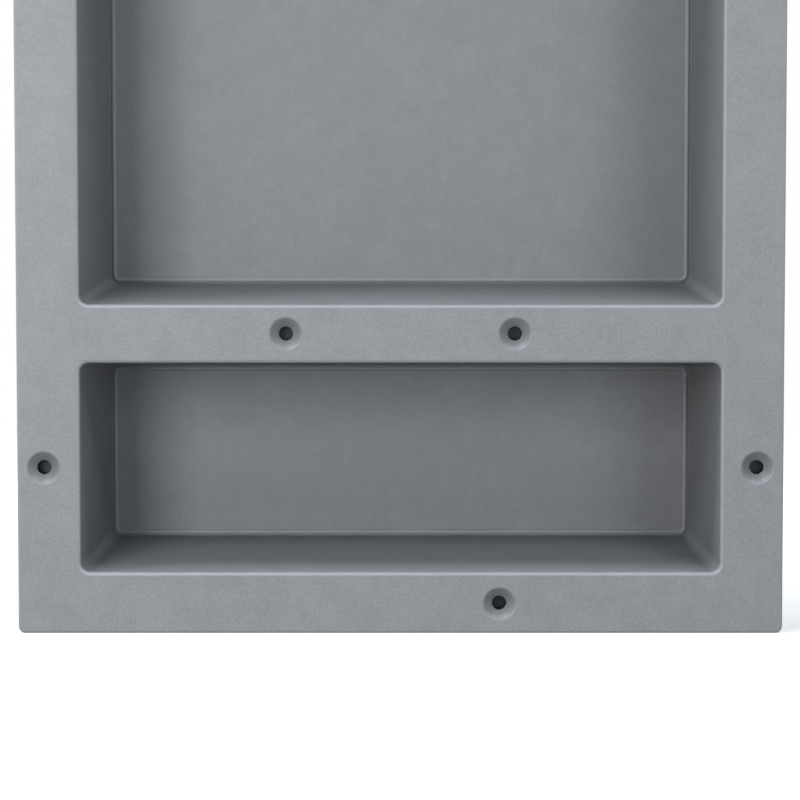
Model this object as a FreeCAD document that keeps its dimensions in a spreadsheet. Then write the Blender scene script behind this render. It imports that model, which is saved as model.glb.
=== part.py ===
import FreeCAD, Part
import math
import os
import Sketcher

# Shower niche insert: one moulded shell with a tall compartment over a low one. The flange that
# frames them is screwed to the wall studs and tiled over, and the compartments reach back between
# the studs.
#
# The shell is drawn as it lies in its mould: X across, Y up the wall and Z out of the wall, with
# the flange's back plane at Z = 0. The body's placement then stands it up, so that the tile side
# faces -Y, +Z is up, and the origin is the middle of the plane that bears on the studs.
NODE = "niche_insert"

# Driving sizes in millimetres, angles in degrees
SIZES = [
    ("overall_width", 406.4, "each side edge lands on the middle of a stud, studs 16 inches apart"),
    ("overall_height", 508.0, "20 inches"),
    ("flange_thickness", 12.7, "flush with backer board half an inch thick"),
    ("box_depth", 88.9, "from the flange's back to the rear, the depth of a stud"),
    ("wall_thickness", 6.35, "compartment walls and back panels"),
    ("opening_width", 339.7, "both compartments, at the flange's face"),
    ("lower_opening_height", 111.7, "the low compartment, at the flange's face"),
    ("end_flange_height", 32.4, "flange above the tall compartment and below the low one"),
    ("divider_height", 30.7, "flange between the two openings"),
    ("draft_angle", 4.6, "every compartment wall closes in towards the back"),
    ("corner_radius", 5.0, "compartment corners, from the opening to the back panel"),
    ("flange_corner_radius", 3.7, "outer corners of the flange"),
    ("flange_edge_round", 1.4, "outer edges of the flange's face"),
    ("rim_round", 2.0, "edge between the flange's face and a compartment wall"),
    ("root_round", 4.0, "crease between the flange's back and the outside of a box"),
    ("rear_round", 3.0, "rear edges of each box"),
    ("bead_width", 2.9, "half-round bead that runs round each back panel"),
    ("bead_height", 0.8, "the bead's crest stands this far off the panel"),
    ("bead_gap", 0.35, "groove between the foot of the wall and the bead"),
    ("screw_bore_diameter", 7.6, "straight part of each screw recess"),
    ("screw_head_diameter", 17.1, "mouth of the countersink, where its cone would meet the face"),
    ("countersink_angle", 90.0, "full angle of the cone"),
    ("screw_skin", 1.0, "closes the bottom of a recess until the screw breaks through it"),
    ("screw_mouth_bevel", 0.45, "edge of each countersink"),
    ("side_screw_margin", 13.9, "side edge of the flange to the side screws"),
    ("divider_screw_spread", 121.3, "between the two screws on the divider"),
    ("end_screw_margin", 15.7, "upper or lower edge of the flange to the end screws"),
    ("end_screw_offset", 52.6, "the end screws stand this far to the right of the middle"),
]

# Levels of the flange's face and of the back panels, along Z
FACE = "Sizes.flange_thickness"
PANEL = "(Sizes.wall_thickness - Sizes.box_depth)"

# Heights of the openings' edges above the middle, along Y
LOWER_SILL = "(Sizes.end_flange_height - Sizes.overall_height / 2)"
LOWER_HEAD = f"({LOWER_SILL} + Sizes.lower_opening_height)"
UPPER_SILL = f"({LOWER_HEAD} + Sizes.divider_height)"
UPPER_HEAD = "(Sizes.overall_height / 2 - Sizes.end_flange_height)"
COMPARTMENTS = {"lower": (LOWER_SILL, LOWER_HEAD), "upper": (UPPER_SILL, UPPER_HEAD)}

# A sketch's own origin, as its constraints name it
ORIGIN = (-1, 1)

# Two lengths closer than this are the same
TOLERANCE = 0.01


def make_sheet(doc):
    """Spreadsheet with a row for each driving size: its name, its value and what it is."""
    sheet = doc.addObject("Spreadsheet::Sheet", "Sizes")
    for row, (name, size, note) in enumerate(SIZES, start=1):
        sheet.set(f"A{row}", name)
        sheet.set(f"B{row}", str(size))
        sheet.setAlias(f"B{row}", name)
        sheet.set(f"C{row}", note)
    doc.recompute()
    return sheet


def value(item, expression):
    """Number that an expression of the sheet's sizes gives."""
    return float(item.evalExpression(expression))


def origin_plane(body, role="XY_Plane"):
    """One of the body's own planes, the one across Z unless another is named."""
    return next(p for p in body.Origin.OriginFeatures if p.Role == role)


def place_at(item, plane, level):
    """Attach a sketch or plane parallel to a plane, at a level given by an expression."""
    item.AttachmentSupport = [(plane, "")]
    item.MapMode = "FlatFace"
    item.setExpression("AttachmentOffset.Base.z", level)


def new_sketch(body, name, level, role="XY_Plane"):
    """Empty sketch parallel to one of the body's planes, at a level given by an expression."""
    sketch = body.newObject("Sketcher::SketchObject", name)
    place_at(sketch, origin_plane(body, role), level)
    sketch.Visibility = False
    return sketch


def bind(sketch, name, kind, places, expression):
    """Named dimension of a sketch, held to an expression of the sheet's sizes."""
    index = sketch.addConstraint(Sketcher.Constraint(kind, *places, value(sketch, expression)))
    sketch.renameConstraint(index, name)
    sketch.setExpression(f"Constraints.{name}", expression)


def add_rectangle(sketch, tag, half_width, low, high, radius=None):
    """Rectangle centred across, from low to high, with round corners if a radius is given.

    The measures are expressions. The corners run anticlockwise from the lower right one.
    """
    x, y0, y1 = (value(sketch, e) for e in (half_width, low, high))
    r = value(sketch, radius) if radius else 0
    centres = [(x - r, y0 + r), (x - r, y1 - r), (r - x, y1 - r), (r - x, y0 + r)]
    outward = FreeCAD.Vector(0, 0, 1)
    arcs = []
    ends = []
    for turn, centre in enumerate(centres):
        centre = FreeCAD.Vector(*centre, 0)
        first, last = (turn - 1) * math.pi / 2, turn * math.pi / 2
        if radius:
            corner = Part.ArcOfCircle(Part.Circle(centre, outward, r), first, last)
            arcs.append(sketch.addGeometry(corner))
        ends.append([centre + FreeCAD.Vector(math.cos(a), math.sin(a), 0) * r for a in (first, last)])
    sides = []
    for turn, direction in enumerate(("Vertical", "Horizontal") * 2):
        line = Part.LineSegment(ends[turn][1], ends[(turn + 1) % 4][0])
        sides.append(sketch.addGeometry(line))
        sketch.addConstraint(Sketcher.Constraint(direction, sides[-1]))
    for turn in range(4):
        after = (turn + 1) % 4
        if radius:
            sketch.addConstraint(Sketcher.Constraint("Tangent", arcs[turn], 2, sides[turn], 1))
            sketch.addConstraint(Sketcher.Constraint("Tangent", sides[turn], 2, arcs[after], 1))
        else:
            sketch.addConstraint(Sketcher.Constraint("Coincident", sides[turn], 2, sides[after], 1))
    for arc in arcs[1:]:
        sketch.addConstraint(Sketcher.Constraint("Equal", arcs[0], arc))
    right, top, left, bottom = sides
    bind(sketch, f"{tag}_right", "DistanceX", (*ORIGIN, right, 1), half_width)
    bind(sketch, f"{tag}_left", "DistanceX", (left, 1, *ORIGIN), half_width)
    bind(sketch, f"{tag}_low", "DistanceY", (*ORIGIN, bottom, 1), low)
    bind(sketch, f"{tag}_high", "DistanceY", (*ORIGIN, top, 1), high)
    if radius:
        bind(sketch, f"{tag}_radius", "Radius", (arcs[0],), radius)


def lean(level):
    """How far a compartment wall has closed in at a level, from the flange's face."""
    return f"((Sizes.flange_thickness - {level}) * tan(Sizes.draft_angle * 1 deg))"


def compartment_sketch(body, name, level, inset):
    """Both compartments' rectangles at a level, drawn in from the openings by an inset."""
    sketch = new_sketch(body, name, level)
    for tag, (sill, head) in COMPARTMENTS.items():
        half_width = f"(Sizes.opening_width / 2 - {inset})"
        add_rectangle(sketch, tag, half_width, f"({sill} + {inset})", f"({head} - {inset})")
    return sketch


def spans(shape, low, high):
    """Does this face or edge reach from exactly one level to the other?"""
    box = shape.BoundBox
    return abs(box.ZMin - low) < TOLERANCE and abs(box.ZMax - high) < TOLERANCE


def extrude(body, kind, name, sketch, length, downwards):
    """Pad or pocket of a sketch, with its length given by an expression."""
    feature = body.newObject(kind, name)
    feature.Profile = sketch
    feature.setExpression("Length", length)
    feature.Reversed = downwards == (kind == "PartDesign::Pad")
    body.Document.recompute()


def draft(body, name, neutral_plane, narrower_down, low, high):
    """Tilt the walls that reach from low to high by the draft, about a plane."""
    base = body.Tip
    walls = [f"Face{i}" for i, face in enumerate(base.Shape.Faces, start=1) if spans(face, low, high)]
    feature = body.newObject("PartDesign::Draft", name)
    feature.Base = (base, walls)
    feature.NeutralPlane = (neutral_plane, [""])
    feature.Reversed = narrower_down
    feature.setExpression("Angle", "Sizes.draft_angle")
    body.Document.recompute()


def dress(body, kind, name, size, wanted):
    """Round or bevel the edges of the solid so far that the test wants. The size is an expression."""
    base = body.Tip
    edges = [f"Edge{i}" for i, edge in enumerate(base.Shape.Edges, start=1) if wanted(edge)]
    feature = body.newObject(f"PartDesign::{kind}", name)
    feature.Base = (base, edges)
    feature.setExpression({"Fillet": "Radius", "Chamfer": "Size"}[kind], size)
    body.Document.recompute()


def is_inner(edge, level, sheet):
    """Does the edge lie at this level of the flange, away from the flange's own outline?"""
    box = edge.BoundBox
    outline = sheet.overall_width / 2 - sheet.flange_corner_radius
    return spans(edge, level, level) and max(-box.XMin, box.XMax) < outline - TOLERANCE


def make_flange(body, sheet):
    """Flat frame, padded out from the plane that bears on the studs, with its edges softened."""
    sketch = new_sketch(body, "FlangeOutline", "0")
    half_width, half_height = "Sizes.overall_width / 2", "Sizes.overall_height / 2"
    add_rectangle(sketch, "outline", half_width, f"-{half_height}", half_height, "Sizes.flange_corner_radius")
    extrude(body, "PartDesign::Pad", "Flange", sketch, FACE, downwards=False)
    face = sheet.flange_thickness
    dress(body, "Fillet", "FlangeEdges", "Sizes.flange_edge_round", lambda edge: spans(edge, face, face))


def make_boxes(body):
    """Blocks of the two boxes that stand behind the flange, one for each compartment."""
    inset = f"({lean('0')} - Sizes.wall_thickness)"
    sketch = compartment_sketch(body, "BoxOutlines", "0", inset)
    extrude(body, "PartDesign::Pad", "Boxes", sketch, "Sizes.box_depth", downwards=True)


def make_compartments(body):
    """The two compartments, cut from the flange's face down to their back panels."""
    sketch = compartment_sketch(body, "Openings", FACE, "0")
    depth = f"{FACE} - {PANEL}"
    extrude(body, "PartDesign::Pocket", "Compartments", sketch, depth, downwards=True)


def draft_walls(body, sheet):
    """Close in every wall towards the back, inside from the openings and outside from the flange."""
    face_plane = body.newObject("PartDesign::Plane", "FacePlane")
    place_at(face_plane, origin_plane(body), FACE)
    body.Document.recompute()
    panel = sheet.wall_thickness - sheet.box_depth
    draft(body, "InsideDraft", face_plane, False, panel, sheet.flange_thickness)
    draft(body, "OutsideDraft", origin_plane(body), True, -sheet.box_depth, 0)


def round_boxes(body, sheet):
    """Corners, rear edges and roots of the boxes. The corners keep the walls' thickness."""
    rear = -sheet.box_depth
    outer_radius = "Sizes.corner_radius + Sizes.wall_thickness"
    dress(body, "Fillet", "BoxCorners", outer_radius, lambda edge: spans(edge, rear, 0))
    dress(body, "Fillet", "RearRound", "Sizes.rear_round", lambda edge: spans(edge, rear, rear))
    dress(body, "Fillet", "RootRound", "Sizes.root_round", lambda edge: is_inner(edge, 0, sheet))


def round_compartments(body, sheet):
    """Corners and rims of the compartments."""
    face = sheet.flange_thickness
    panel = sheet.wall_thickness - sheet.box_depth
    dress(body, "Fillet", "CompartmentCorners", "Sizes.corner_radius", lambda edge: spans(edge, panel, face))
    dress(body, "Fillet", "RimRound", "Sizes.rim_round", lambda edge: is_inner(edge, face, sheet))


def bead_section(body, name, place, middle):
    """Sketch of the bead's section, a segment of a circle that stands on the back panel.

    It lies across X at a place given by an expression, and the middle is its height along Y.
    """
    sketch = new_sketch(body, name, place, "YZ_Plane")
    width, height = "Sizes.bead_width", "Sizes.bead_height"
    radius = f"(({width} ^ 2 / 4 + {height} ^ 2) / (2 * {height}))"
    low, high = f"({middle} - {width} / 2)", f"({middle} + {width} / 2)"
    y0, y1, level, r = (value(sketch, e) for e in (low, high, PANEL, radius))
    base = Part.LineSegment(FreeCAD.Vector(y0, level, 0), FreeCAD.Vector(y1, level, 0))
    centre = FreeCAD.Vector((y0 + y1) / 2, level + value(sketch, height) - r, 0)
    start = math.acos((y1 - y0) / 2 / r)
    circle = Part.Circle(centre, FreeCAD.Vector(0, 0, 1), r)
    line = sketch.addGeometry(base)
    arc = sketch.addGeometry(Part.ArcOfCircle(circle, start, math.pi - start))
    sketch.addConstraint(Sketcher.Constraint("Coincident", line, 2, arc, 1))
    sketch.addConstraint(Sketcher.Constraint("Coincident", arc, 2, line, 1))
    sketch.addConstraint(Sketcher.Constraint("Horizontal", line))
    bind(sketch, "low", "DistanceX", (*ORIGIN, line, 1), low)
    bind(sketch, "high", "DistanceX", (*ORIGIN, line, 2), high)
    bind(sketch, "level", "DistanceY", (*ORIGIN, line, 1), PANEL)
    bind(sketch, "radius", "Radius", (arc,), radius)
    return sketch


def make_beads(body):
    """Half-round bead that runs round each back panel, close to the feet of the walls."""
    margin = "(Sizes.bead_gap + Sizes.bead_width / 2)"
    inset = f"({lean(PANEL)} + {margin})"
    half_width = f"(Sizes.opening_width / 2 - {inset})"
    radius = f"(Sizes.corner_radius - {margin})"
    for tag, (sill, head) in COMPARTMENTS.items():
        name = tag.title()
        low, high = f"({sill} + {inset})", f"({head} - {inset})"
        path = new_sketch(body, f"{name}BeadPath", PANEL)
        add_rectangle(path, "path", half_width, low, high, radius)
        section = bead_section(body, f"{name}BeadSection", f"{half_width} - {radius}", low)
        body.Document.recompute()
        bead = body.newObject("PartDesign::AdditivePipe", f"{name}Bead")
        bead.Profile = section
        bead.Spine = path
        body.Document.recompute()


def screw_places():
    """Name, X and Y of each screw: four at the sides, two on the divider, one at each end."""
    side = "(Sizes.overall_width / 2 - Sizes.side_screw_margin)"
    middle_of_lower = f"(({LOWER_SILL} + {LOWER_HEAD}) / 2)"
    middle_of_divider = f"(({LOWER_HEAD} + {UPPER_SILL}) / 2)"
    end = "(Sizes.overall_height / 2 - Sizes.end_screw_margin)"
    places = []
    for across, sign in (("left", "-"), ("right", "+")):
        places.append((f"{across}_low", f"{sign}{side}", middle_of_lower))
        places.append((f"{across}_high", f"{sign}{side}", f"-{middle_of_lower}"))
        places.append((f"{across}_divider", f"{sign}Sizes.divider_screw_spread / 2", middle_of_divider))
    places.append(("bottom", "Sizes.end_screw_offset", f"-{end}"))
    places.append(("top", "Sizes.end_screw_offset", end))
    return places


def make_screw_recesses(body, sheet):
    """Countersunk recesses for the fixing screws, each closed by a thin skin at the studs."""
    sketch = new_sketch(body, "ScrewPlaces", FACE)
    outward = FreeCAD.Vector(0, 0, 1)
    for name, x, y in screw_places():
        centre = FreeCAD.Vector(value(sketch, x), value(sketch, y), 0)
        circle = sketch.addGeometry(Part.Circle(centre, outward, sheet.screw_bore_diameter / 2))
        bind(sketch, f"{name}_x", "DistanceX", (*ORIGIN, circle, 3), x)
        bind(sketch, f"{name}_y", "DistanceY", (*ORIGIN, circle, 3), y)
        bind(sketch, f"{name}_bore", "Diameter", (circle,), "Sizes.screw_bore_diameter")
    body.Document.recompute()
    hole = body.newObject("PartDesign::Hole", "ScrewRecesses")
    hole.Profile = sketch
    body.Document.recompute()
    hole.ThreadType = "None"
    hole.DepthType = "Dimension"
    hole.DrillPoint = "Flat"
    hole.HoleCutType = "Countersink"
    hole.HoleCutCustomValues = True
    hole.setExpression("Diameter", "Sizes.screw_bore_diameter")
    hole.setExpression("Depth", "Sizes.flange_thickness - Sizes.screw_skin")
    hole.setExpression("HoleCutDiameter", "Sizes.screw_head_diameter")
    hole.setExpression("HoleCutCountersinkAngle", "Sizes.countersink_angle")
    body.Document.recompute()
    bevel_mouths(body, sheet)


def bevel_mouths(body, sheet):
    """Soften the edge of each countersink, a full circle on the flange's face."""
    face = sheet.flange_thickness
    around = math.pi * sheet.screw_head_diameter

    def wanted(edge):
        return spans(edge, face, face) and abs(edge.Length - around) < TOLERANCE

    dress(body, "Chamfer", "ScrewMouthBevel", "Sizes.screw_mouth_bevel", wanted)


def check(doc, body):
    """Stop before anything is written if an object failed or the shell isn't one sound solid."""
    for item in doc.Objects:
        if "Invalid" in item.State or "Error" in item.State:
            raise RuntimeError(f"{item.Label} failed: {item.State}")
    shape = body.Shape
    if shape.isNull() or not shape.isValid() or len(shape.Solids) != 1:
        raise RuntimeError(f"{body.Label} isn't one sound solid")


def make_part():
    """Build the shell, stand it up, check it and write it."""
    doc = FreeCAD.newDocument("ShowerNicheInsert")
    sheet = make_sheet(doc)
    body = doc.addObject("PartDesign::Body", "Shell")
    body.Label = NODE
    make_flange(body, sheet)
    make_boxes(body)
    make_compartments(body)
    draft_walls(body, sheet)
    round_boxes(body, sheet)
    round_compartments(body, sheet)
    make_beads(body)
    make_screw_recesses(body, sheet)
    body.Placement = FreeCAD.Placement(FreeCAD.Vector(), FreeCAD.Rotation(FreeCAD.Vector(1, 0, 0), 90))
    doc.recompute()
    check(doc, body)
    os.makedirs("parts", exist_ok=True)
    body.Shape.exportStep(f"parts/{NODE}.step")
    print(NODE, "volume", round(body.Shape.Volume), "mm3")


make_part()
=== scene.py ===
import math

import bpy
import numpy as np
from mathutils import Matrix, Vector


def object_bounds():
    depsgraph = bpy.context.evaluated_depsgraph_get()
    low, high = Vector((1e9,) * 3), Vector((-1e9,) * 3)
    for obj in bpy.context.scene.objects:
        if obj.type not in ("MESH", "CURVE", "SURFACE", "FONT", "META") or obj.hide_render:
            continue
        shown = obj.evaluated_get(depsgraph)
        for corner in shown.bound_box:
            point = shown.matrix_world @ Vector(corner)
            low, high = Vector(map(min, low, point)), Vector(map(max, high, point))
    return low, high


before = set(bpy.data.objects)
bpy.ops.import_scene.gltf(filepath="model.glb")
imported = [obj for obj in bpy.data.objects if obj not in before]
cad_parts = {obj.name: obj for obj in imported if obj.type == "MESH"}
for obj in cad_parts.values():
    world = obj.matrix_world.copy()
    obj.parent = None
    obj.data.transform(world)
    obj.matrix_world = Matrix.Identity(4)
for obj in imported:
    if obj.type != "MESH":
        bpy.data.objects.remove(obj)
cad_low, cad_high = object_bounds()
scene = bpy.context.scene
scene.view_settings.view_transform = "Standard"


# The shell. One moulding of rigid structural foam, coloured through in grey: the flange, the divider
# and both compartments leave the mould together. The mould's blasted face gives all of it one matte,
# finely grained skin that tile adhesive keys into. A thin web closes each screw bore. Light and shade
# are painted into the colour: painted shade darkens the compartments and the screw recesses and paints
# the bores near black, and painted highlights lighten the rounds beside the face and the beads' crests.
MM = 0.001
FOAM_IOR = 1.49
SKIN_LIGHT = "9EA1A5"
SKIN_DARK = "909397"
SKIN_NOISE = (0.38, 0.62)       # noise that gives the dark and the light skin
SKIN_ROUGHNESS = (0.42, 0.58)
GRAIN_MM = 1.4
GRAIN_HEIGHT_MM = 0.06
GRAIN_SHARE = 0.6               # of the skin's tone. The clouds give the rest
CLOUD_MM = 18.0

# Depths are along Y, from the flange's back to the rear, so the flange's face lies at -12.7
FACE_MM = (-12.7, -9.0)         # from full grain on the face to the grain of the compartments
# Inside, the grain's share falls and the rest of its tone is a low one: painted shade that darkens the
# compartments a little and the screw recesses more
GRAIN_INSIDE = 0.6
PAINTED_SHADE_TONE = 0.2
# Painted highlight: a lighter colour on the rounds beside the face and, at a share, on the beads' crests
PAINTED_HIGHLIGHT = "A4A7AC"
RIM_MM = (-12.69, -12.55, -12.1, -11.7)
BEAD_MM = (81.6, 81.7, 82.1, 82.5)
BEAD_SHARE = 0.5

# Side, divider and end screws: how far each stands off the middle, across and up
SCREWS_MM = [(189.3, 165.75), (60.65, 94.55), (52.6, 238.3)]
CONE_RADIUS_MM = 9.0
RECESS_MM = (-12.7, -12.68, -0.52, -0.5)
BORE_RADIUS_MM = 4.1
BORE_TOP_MM = -7.9
BORE_END_MM = -0.5
# Painted shade: the screw bores are coloured near black
BORE_PAINTED_SHADE = "1D2022"


def linear(hex_colour):
    """Linear RGBA of an sRGB hex colour."""
    parts = [int(hex_colour[i:i + 2], 16) / 255 for i in (0, 2, 4)]
    return [p / 12.92 if p <= 0.04045 else ((p + 0.055) / 1.055) ** 2.4 for p in parts] + [1.0]


def add(tree, kind, *feeds, **settings):
    """Add a node with these attributes and give its outputs by name. Each feed is an input, by name or
    number, and its value or another node's output."""
    node = tree.nodes.new(kind)
    for name, value in settings.items():
        setattr(node, name, value)
    named = {socket.name: socket for socket in reversed(node.inputs) if socket.enabled}
    for label, source in feeds:
        socket = node.inputs[label] if isinstance(label, int) else named[label]
        if isinstance(source, bpy.types.NodeSocket):
            tree.links.new(source, socket)
        else:
            socket.default_value = source
    return {socket.name: socket for socket in node.outputs if socket.enabled}


def band(tree, depth, limits_mm):
    """Rises from 0 to 1 between the first two depths and falls back to 0 between the last two."""
    rise, full, fall, gone = (limit * MM for limit in limits_mm)
    start = add(tree, "ShaderNodeMapRange", ("Value", depth),
                ("From Min", rise), ("From Max", full))["Result"]
    end = add(tree, "ShaderNodeMapRange", ("Value", depth), ("From Min", fall), ("From Max", gone),
              ("To Min", 1.0), ("To Max", 0.0))["Result"]
    return add(tree, "ShaderNodeMath", (0, start), (1, end), operation="MULTIPLY")["Value"]


def near_screws(tree, place, radius_mm):
    """1 closer to a screw's axis than the radius, else 0. Left folds onto right and lower onto upper, so
    that three places stand for all eight screws. Where the fold finds a place that has no screw, the
    recesses' depths hold no surface."""
    folded = add(tree, "ShaderNodeVectorMath", (0, place), operation="ABSOLUTE")["Vector"]
    flat = add(tree, "ShaderNodeVectorMath", (0, folded), (1, (1.0, 0.0, 1.0)),
               operation="MULTIPLY")["Vector"]
    near = 0.0
    for x, z in SCREWS_MM:
        off = add(tree, "ShaderNodeVectorMath", (0, flat), (1, (x * MM, 0.0, z * MM)),
                  operation="DISTANCE")["Value"]
        hit = add(tree, "ShaderNodeMath", (0, off), (1, radius_mm * MM), operation="LESS_THAN")["Value"]
        near = add(tree, "ShaderNodeMath", (0, hit), (1, near), operation="MAXIMUM")["Value"]
    return near


def bores(tree, place, depth):
    """Painted shade: 1 inside the screw bores, else 0: near a screw's axis, below the cone and short of
    the back.
    """
    below = add(tree, "ShaderNodeMath", (0, depth), (1, BORE_TOP_MM * MM),
                operation="GREATER_THAN")["Value"]
    short = add(tree, "ShaderNodeMath", (0, depth), (1, BORE_END_MM * MM),
                operation="LESS_THAN")["Value"]
    deep = add(tree, "ShaderNodeMath", (0, below), (1, short), operation="MULTIPLY")["Value"]
    near = near_screws(tree, place, BORE_RADIUS_MM)
    return add(tree, "ShaderNodeMath", (0, near), (1, deep), operation="MULTIPLY")["Value"]


def blasted_grit_with_painted_shade(tree, place, depth, cones):
    """Fine noise, at full strength on the flange's face, which is blasted coarsest for the adhesive. It
    fades to a share inside the compartments, and to none in the recesses, which smooth pins mould. Where
    it fades, its tone sinks to a low one: painted shade, a little in the compartments and fully in the
    recesses."""
    # The real grain is finer and is drawn as coarse as the picture can hold
    grain = add(tree, "ShaderNodeTexNoise", ("Vector", place), ("Scale", 1 / (GRAIN_MM * MM)),
                ("Detail", 1.5), ("Roughness", 0.8))["Fac"]
    face = add(tree, "ShaderNodeMapRange", ("Value", depth), ("From Min", FACE_MM[0] * MM),
               ("From Max", FACE_MM[1] * MM), ("To Min", 1.0), ("To Max", GRAIN_INSIDE))["Result"]
    recess = add(tree, "ShaderNodeMath", (0, cones), (1, band(tree, depth, RECESS_MM)),
                 operation="MULTIPLY")["Value"]
    strength = add(tree, "ShaderNodeMix", ("Factor", recess), ("A", face), ("B", 0.0))["Result"]
    # Where the grain is weak the tone sinks to the low tone: painted shade in the compartments and,
    # fully, in the screw recesses
    return add(tree, "ShaderNodeMix", ("Factor", strength), ("A", PAINTED_SHADE_TONE), ("B", grain))["Result"]


def painted_highlights(tree, depth, cones):
    """Painted highlight on the rounds beside the face, but not on the rims of the screw cones, plus a
    smaller share for the crests of the beads."""
    apart = add(tree, "ShaderNodeMath", (0, 1.0), (1, cones), operation="SUBTRACT")["Value"]
    rims = add(tree, "ShaderNodeMath", (0, band(tree, depth, RIM_MM)), (1, apart),
               operation="MULTIPLY")["Value"]
    return add(tree, "ShaderNodeMath", (0, band(tree, depth, BEAD_MM)), (1, BEAD_SHARE), (2, rims),
               operation="MULTIPLY_ADD")["Value"]


def moulded_structural_foam():
    """Rigid foam with a blasted skin: matte, finely grained and softly clouded where the melt spread. Its
    colour holds painted highlights on the rounds beside the face and the beads' crests, and painted shade
    in the compartments, the screw recesses and the bores."""
    material = bpy.data.materials.new("moulded_structural_foam")
    material.use_nodes = True
    tree = material.node_tree
    tree.nodes.clear()
    place = add(tree, "ShaderNodeTexCoord")["Object"]
    depth = add(tree, "ShaderNodeSeparateXYZ", (0, place))["Y"]
    cones = near_screws(tree, place, CONE_RADIUS_MM)
    # The grit holds painted shade besides the grain: it darkens the compartments and the screw recesses
    grit_and_painted_shade = blasted_grit_with_painted_shade(tree, place, depth, cones)
    # Clouds a finger wide and less, where the foaming melt cooled unevenly
    cloud = add(tree, "ShaderNodeTexNoise", ("Vector", place), ("Scale", 1 / (CLOUD_MM * MM)),
                ("Detail", 3.0), ("Roughness", 0.9))["Fac"]
    shade = add(tree, "ShaderNodeMix", ("Factor", GRAIN_SHARE), ("A", cloud), ("B", grit_and_painted_shade))["Result"]
    tone = add(tree, "ShaderNodeMapRange", ("Value", shade),
               ("From Min", SKIN_NOISE[0]), ("From Max", SKIN_NOISE[1]))["Result"]
    skin = add(tree, "ShaderNodeMix", ("Factor", tone),
               ("A", linear(SKIN_DARK)), ("B", linear(SKIN_LIGHT)), data_type="RGBA")["Result"]
    # Painted highlight on the rounds beside the face and on the beads' crests
    highlighted = add(tree, "ShaderNodeMix", ("Factor", painted_highlights(tree, depth, cones)),
               ("A", skin), ("B", linear(PAINTED_HIGHLIGHT)), data_type="RGBA")["Result"]
    # Painted shade: the screw bores are coloured near black
    colour = add(tree, "ShaderNodeMix", ("Factor", bores(tree, place, depth)),
                 ("A", highlighted), ("B", linear(BORE_PAINTED_SHADE)), data_type="RGBA")["Result"]
    matte = add(tree, "ShaderNodeMapRange", ("Value", grit_and_painted_shade),
                ("To Min", SKIN_ROUGHNESS[0]), ("To Max", SKIN_ROUGHNESS[1]))["Result"]
    bump = add(tree, "ShaderNodeBump", ("Height", grit_and_painted_shade), ("Distance", GRAIN_HEIGHT_MM * MM))["Normal"]
    surface = add(tree, "ShaderNodeBsdfPrincipled", ("Base Color", colour), ("Roughness", matte),
                  ("Normal", bump), ("IOR", FOAM_IOR))["BSDF"]
    add(tree, "ShaderNodeOutputMaterial", ("Surface", surface))
    return material


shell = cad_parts["niche_insert"]
for slot in shell.material_slots:
    slot.material = moulded_structural_foam()


# The floor. A pale sheet that the insert's lower edge stands on. It keeps the soft shadow close to the
# insert and runs out to plain white further off, as a lit studio sweep does.
FLOOR_HALF = 12.0
SWEEP_START = 0.55
SWEEP_END = 1.30
PAPER = "E6E6E6"
PAPER_GLOW = 0.40
FLOOR_FILL = 0.29


def shown_rays(tree):
    """1 for rays of the camera, of gloss and of transmission, else 0."""
    ray = add(tree, "ShaderNodeLightPath")
    seen = add(tree, "ShaderNodeMath", (0, ray["Is Camera Ray"]), (1, ray["Is Glossy Ray"]),
               operation="MAXIMUM")["Value"]
    return add(tree, "ShaderNodeMath", (0, seen), (1, ray["Is Transmission Ray"]),
               operation="MAXIMUM")["Value"]


def pale_paper():
    """Pale paper that takes a shadow and whitens with distance. To the object it is an even low fill."""
    material = bpy.data.materials.new("pale_paper_sweep")
    material.use_nodes = True
    tree = material.node_tree
    tree.nodes.clear()
    place = add(tree, "ShaderNodeTexCoord")["Object"]
    distance = add(tree, "ShaderNodeVectorMath", (0, place), operation="LENGTH")["Value"]
    far = add(tree, "ShaderNodeMapRange", ("Value", distance), ("From Min", SWEEP_START),
              ("From Max", SWEEP_END), interpolation_type="SMOOTHSTEP")["Result"]
    paper = add(tree, "ShaderNodeBsdfDiffuse", ("Color", linear(PAPER)))["BSDF"]
    glow = add(tree, "ShaderNodeEmission", ("Strength", PAPER_GLOW))["Emission"]
    near = add(tree, "ShaderNodeAddShader", (0, paper), (1, glow))["Shader"]
    white = add(tree, "ShaderNodeEmission", ("Strength", 1.0))["Emission"]
    sweep = add(tree, "ShaderNodeMixShader", (0, far), (1, near), (2, white))["Shader"]
    fill = add(tree, "ShaderNodeEmission", ("Strength", FLOOR_FILL))["Emission"]
    surface = add(tree, "ShaderNodeMixShader", (0, shown_rays(tree)), (1, fill), (2, sweep))["Shader"]
    add(tree, "ShaderNodeOutputMaterial", ("Surface", surface))
    return material


corners = FLOOR_HALF * np.array([[-1, -1], [1, -1], [1, 1], [-1, 1]])
floor_mesh = bpy.data.meshes.new("floor")
floor_mesh.from_pydata([(x, y, cad_low.z) for x, y in corners], [], [(0, 1, 2, 3)])
floor_mesh.materials.append(pale_paper())
floor = bpy.data.objects.new("floor", floor_mesh)
scene.collection.objects.link(floor)


# The studio light. Softboxes aimed at the middle of the face: a key light at the front left, a fill at
# the front right, two above, one high up at each side and two behind for the rear. The room adds a
# weak, slightly cool light, and its walls look white.
AIM = Vector((0.0, 0.0, -0.09))
KEY_LIGHT = "FFFFFF"
SKY_LIGHT = "F1FAFF"
SIDE_LIGHT = "F6FBFF"
ROOM_LIGHT = "F0F4FA"
ROOM_STRENGTH = 0.01

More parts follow.
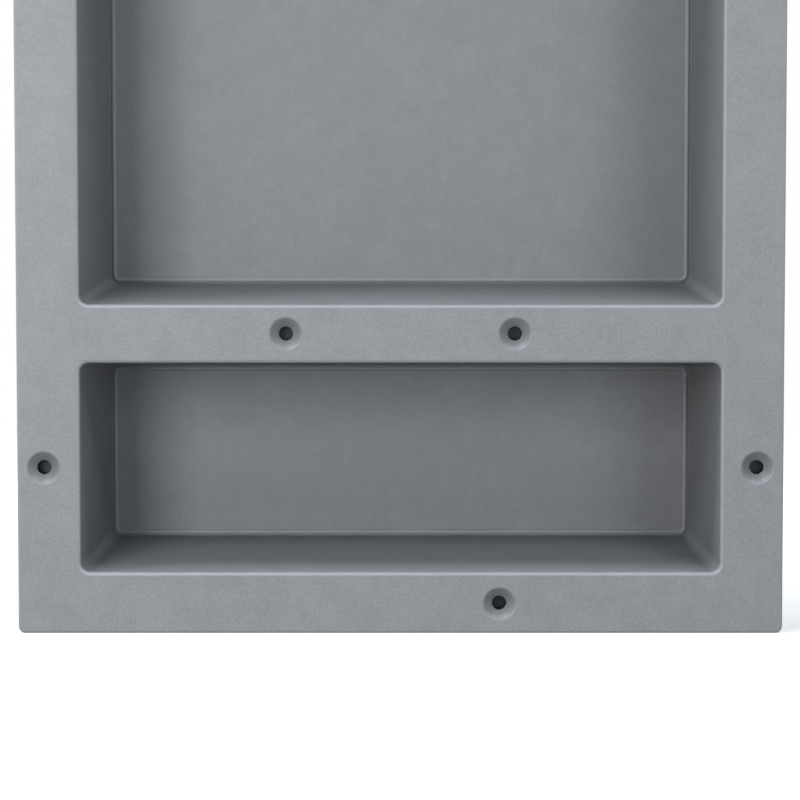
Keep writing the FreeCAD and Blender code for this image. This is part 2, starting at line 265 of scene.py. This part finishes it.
# Name, colour, azimuth, elevation, distance, width, height, watts
SOFTBOXES = [
    ("key_left", KEY_LIGHT, -28, 9, 1.4, 0.45, 0.85, 8.9),
    ("fill_right", SKY_LIGHT, 30, 5, 2.4, 0.75, 1.4, 13.0),
    ("upper_left", SKY_LIGHT, -40, 45, 2.6, 0.75, 0.75, 12.1),
    ("upper_right", SKY_LIGHT, 40, 45, 2.6, 0.75, 0.75, 9.3),
    ("side_left", SIDE_LIGHT, -78, 60, 2.8, 0.8, 0.8, 42.0),
    ("side_right", SIDE_LIGHT, 78, 60, 2.8, 0.8, 0.8, 21.0),
    ("rear_left", SKY_LIGHT, -140, 35, 1.8, 0.8, 0.8, 10.0),
    ("rear_right", SKY_LIGHT, 140, 35, 1.8, 0.8, 0.8, 8.0),
]


def softbox(name, colour, azimuth, elevation, distance, width, height, watts):
    """A softbox. Azimuth goes from the front to the right, elevation up from the floor, both in degrees.
    It throws no light back and forth in the compartments, which keeps them deep."""
    a, e = math.radians(azimuth), math.radians(elevation)
    toward = Vector((math.sin(a) * math.cos(e), -math.cos(a) * math.cos(e), math.sin(e)))
    light = bpy.data.lights.new(name, "AREA")
    light.shape = "RECTANGLE"
    light.size = width
    light.size_y = height
    light.color = linear(colour)[:3]
    light.energy = watts
    light.cycles.max_bounces = 0
    light.cycles.use_multiple_importance_sampling = False
    lamp = bpy.data.objects.new(name, light)
    lamp.location = AIM + toward * distance
    lamp.rotation_euler = (-toward).to_track_quat("-Z", "Y").to_euler()
    scene.collection.objects.link(lamp)


for lamp_settings in SOFTBOXES:
    softbox(*lamp_settings)

world = bpy.data.worlds.new("studio")
world.use_nodes = True
scene.world = world
tree = world.node_tree
tree.nodes.clear()
room = add(tree, "ShaderNodeBackground", ("Color", linear(ROOM_LIGHT)),
           ("Strength", ROOM_STRENGTH))["Background"]
backdrop = add(tree, "ShaderNodeBackground", ("Color", linear("FFFFFF")), ("Strength", 1.0))["Background"]
sky = add(tree, "ShaderNodeMixShader", (0, shown_rays(tree)), (1, room), (2, backdrop))["Shader"]
add(tree, "ShaderNodeOutputWorld", ("Surface", sky))


# The camera. It looks at the face from 1.49 m, nearly level with the insert's middle, so that the
# floors show and the ceilings hardly do. It is tilted down, with only a small shift. Rows and pixels
# are those of a picture of 800 by 800.
IMAGE = 800
FLANGE_PIXELS = 767.5
PIXEL = (cad_high.x - cad_low.x) / FLANGE_PIXELS
EYE_TO_FACE = 1.49
EYE_ROW = 168.0                 # the row that a level look would meet
HALF_HEIGHT_ROW = 154.1         # the row of the insert's half height
TILT = math.radians(3.634)
TILT_ZOOM = 1.0036              # makes up for the size that the tilt takes away
SIDE_SHIFT_PIXELS = -0.4
UP_SHIFT = -0.0649              # in widths of the picture
SENSOR_MM = 36.0

lens = bpy.data.cameras.new("camera")
lens.sensor_width = SENSOR_MM
lens.lens = SENSOR_MM * TILT_ZOOM * EYE_TO_FACE / PIXEL / IMAGE
lens.shift_x = SIDE_SHIFT_PIXELS / IMAGE
lens.shift_y = UP_SHIFT
camera = bpy.data.objects.new("camera", lens)
camera.location = (0.0, cad_low.y - EYE_TO_FACE, (HALF_HEIGHT_ROW - EYE_ROW) * PIXEL)
camera.rotation_euler = (math.pi / 2 - TILT, 0.0, 0.0)
scene.collection.objects.link(camera)
scene.camera = camera
